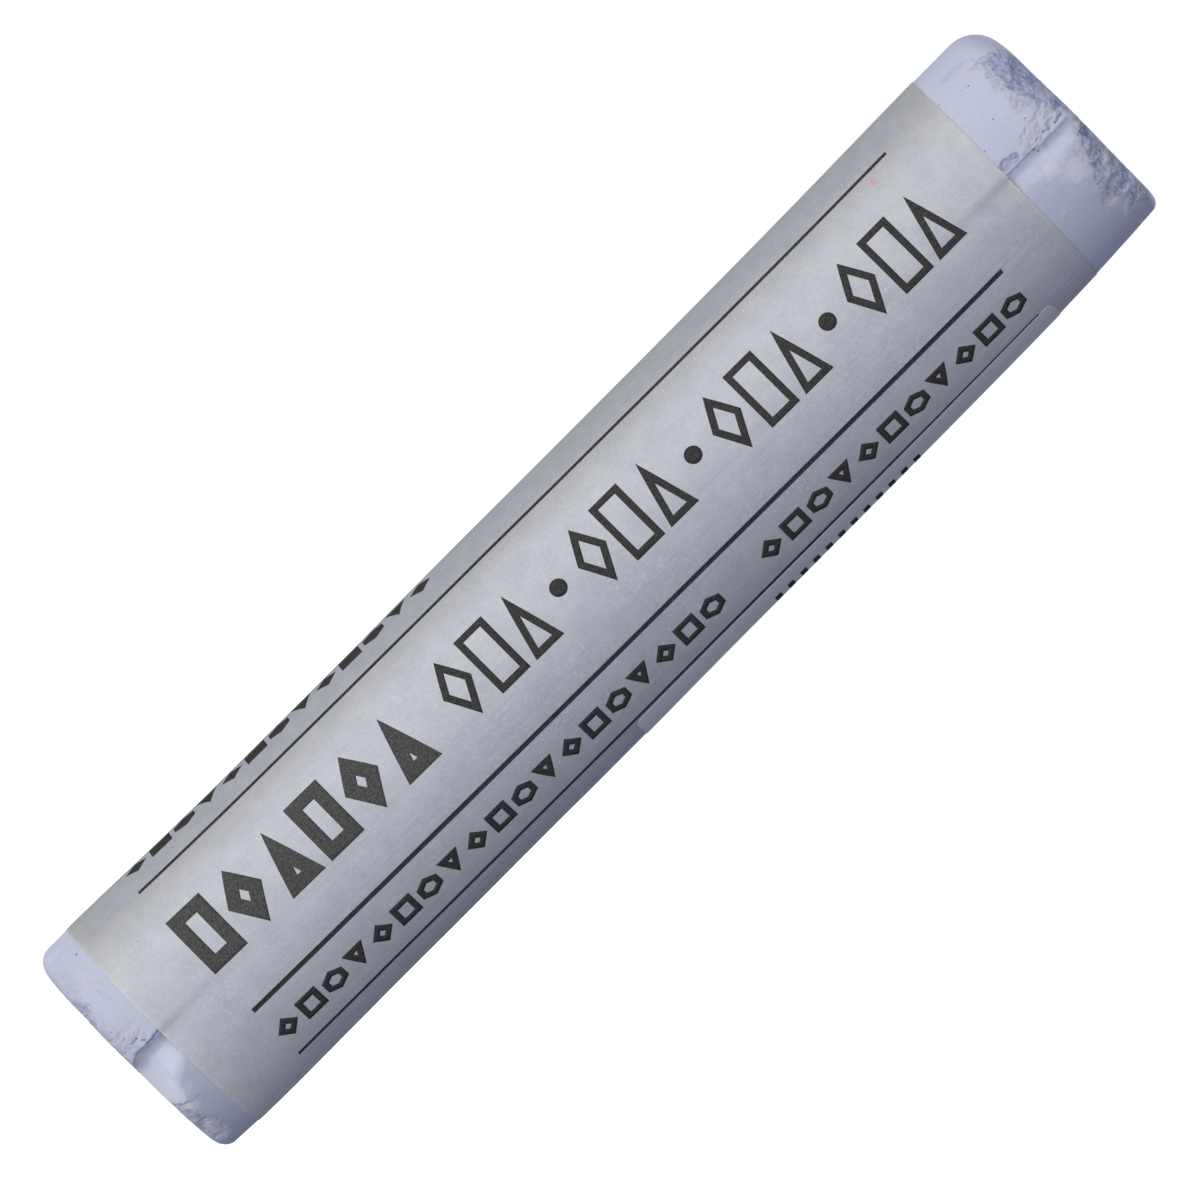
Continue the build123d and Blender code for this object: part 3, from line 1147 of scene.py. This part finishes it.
def ink_finish(name, dark, pale, peppered):
    """Matte ink of a tone between dark and pale, thin in places so that it looks peppered."""
    nodes = Nodes(bpy.data.materials.new(name))
    tone = nodes.mix(nodes.noise(0.9), (dark,) * 3, (pale, pale, pale * 0.96))
    grains = nodes.ramp(nodes.noise(0.085, 3, 0.75), 0.35, 0.68)
    tone = nodes.mix(nodes.times(grains, peppered), tone, (0.21, 0.21, 0.215))
    flaked = nodes.ramp(nodes.noise(0.14, 3, 0.7), 0.68, 0.76)
    tone = nodes.mix(nodes.times(flaked, peppered), tone, (0.42, 0.43, 0.45))
    return nodes.matte(tone, 0.7)


def sticker_finish():
    """Smooth white label paper."""
    nodes = Nodes(bpy.data.materials.new("sticker_paper"))
    tone = nodes.mix(nodes.noise(0.9, 3), (0.585, 0.6, 0.64), (0.635, 0.65, 0.68))
    return nodes.matte(tone, 0.45, Normal=nodes.bump(nodes.noise(0.15), 0.003))


def floor():
    """A wide pale floor that shows white to the camera and keeps the stick's soft shadow."""
    half = 3000.0
    corners = [(-half, -half, 0), (half, -half, 0), (half, half, 0), (-half, half, 0)]
    ground = mesh_of("floor", corners, [(0, 1, 2, 3)])
    ground.visible_diffuse = False
    ground.visible_shadow = False
    glow = {"Emission Color": (1, 1, 1), "Emission Strength": 0.82}
    finish = Nodes(bpy.data.materials.new("floor")).matte((0.8, 0.8, 0.8), 1.0, **glow)
    dress(finish, ground)


def direction(azimuth, elevation):
    """The unit vector towards an azimuth and elevation."""
    turn, up = radians(azimuth), radians(elevation)
    return Vector((sin(turn) * cos(up), -cos(turn) * cos(up), sin(up)))


def studio_light():
    """One broad soft light from the left and a little below, with a faint cool fill all round.
    The camera and mirrored or refracted rays see plain white instead."""
    world = bpy.data.worlds.new("studio")
    bpy.context.scene.world = world
    nodes = Nodes(world)
    way = nodes.coordinates.outputs["Generated"]
    key = direction(-40, -14)
    facing = nodes.add("ShaderNodeVectorMath", {0: way, 1: key}, operation="DOT_PRODUCT")
    spread = nodes.ramp(facing.outputs["Value"], -0.31, 1.15)
    tone = nodes.mix(spread, (0.085, 0.1, 0.175), (1.42, 1.41, 1.4))
    light = nodes.tree.nodes["Background"]
    nodes.feed(light.inputs["Color"], tone)
    white = nodes.add("ShaderNodeBackground", {"Color": (1, 1, 1)})
    path = nodes.add("ShaderNodeLightPath")
    unlit = path.outputs["Is Camera Ray"]
    for ray in ("Is Glossy Ray", "Is Transmission Ray"):
        unlit = nodes.math("MAXIMUM", unlit, path.outputs[ray])
    either = {0: unlit, 1: light.outputs[0], 2: white.outputs[0]}
    mix = nodes.add("ShaderNodeMixShader", either)
    nodes.feed(nodes.tree.nodes["World Output"].inputs["Surface"], mix.outputs[0])


def back_lamp():
    """A square lamp behind the stick that lights it to full brightness and leaves its front."""
    distance, size = 1000.0, 400.0
    away = direction(170, 26) * distance
    light = bpy.data.lights.new("back_lamp", "AREA")
    light.size = size * MM
    light.energy = pi**2 * (distance * MM) ** 2
    holder = placed("back_lamp", light)
    holder.location = (away + Vector((0, 0, stick_length / 2))) * MM
    holder.rotation_euler = away.to_track_quat("Z", "Y").to_euler()
    holder.visible_camera = False


def camera():
    """The photograph's view: level with the stick's upper half, rolled to lay it on a diagonal."""
    distance, side, level, aim = 806.0, 0.387, 41.1, 31.24
    roll = radians(45.18)
    data = bpy.data.cameras.new("camera")
    data.sensor_width = 36.0
    data.lens = 506.8
    data.clip_start = 0.01
    data.clip_end = 20
    data.dof.use_dof = False
    view = placed("camera", data)
    place = Vector((side, -distance, level))
    back = (place - Vector((side, 0, aim))).normalized()
    right = Vector((sin(roll), 0, cos(roll)))
    right = (right - right.dot(back) * back).normalized()
    up = back.cross(right)
    turn = Matrix((right, up, back)).transposed()
    view.matrix_world = Matrix.Translation(place * MM) @ turn.to_4x4()
    bpy.context.scene.camera = view


def dress(finish, *pieces):
    """Gives pieces a finish."""
    for piece in pieces:
        piece.data.materials.append(finish)


bpy.context.scene.view_settings.view_transform = "Standard"
camera()
studio_light()
back_lamp()
floor()
dress(pastel_finish(), pastel_stick())
dress(paper_finish(), paper_wrapper())
dress(sticker_finish(), side_sticker())
dress(ink_finish("bold_ink", 0.038, 0.062, 0.42), print_bold())
thin_prints = (print_rules(), print_light(), print_small(), sticker_marks())
dress(ink_finish("thin_ink", 0.026, 0.04, 0.22), *thin_prints)
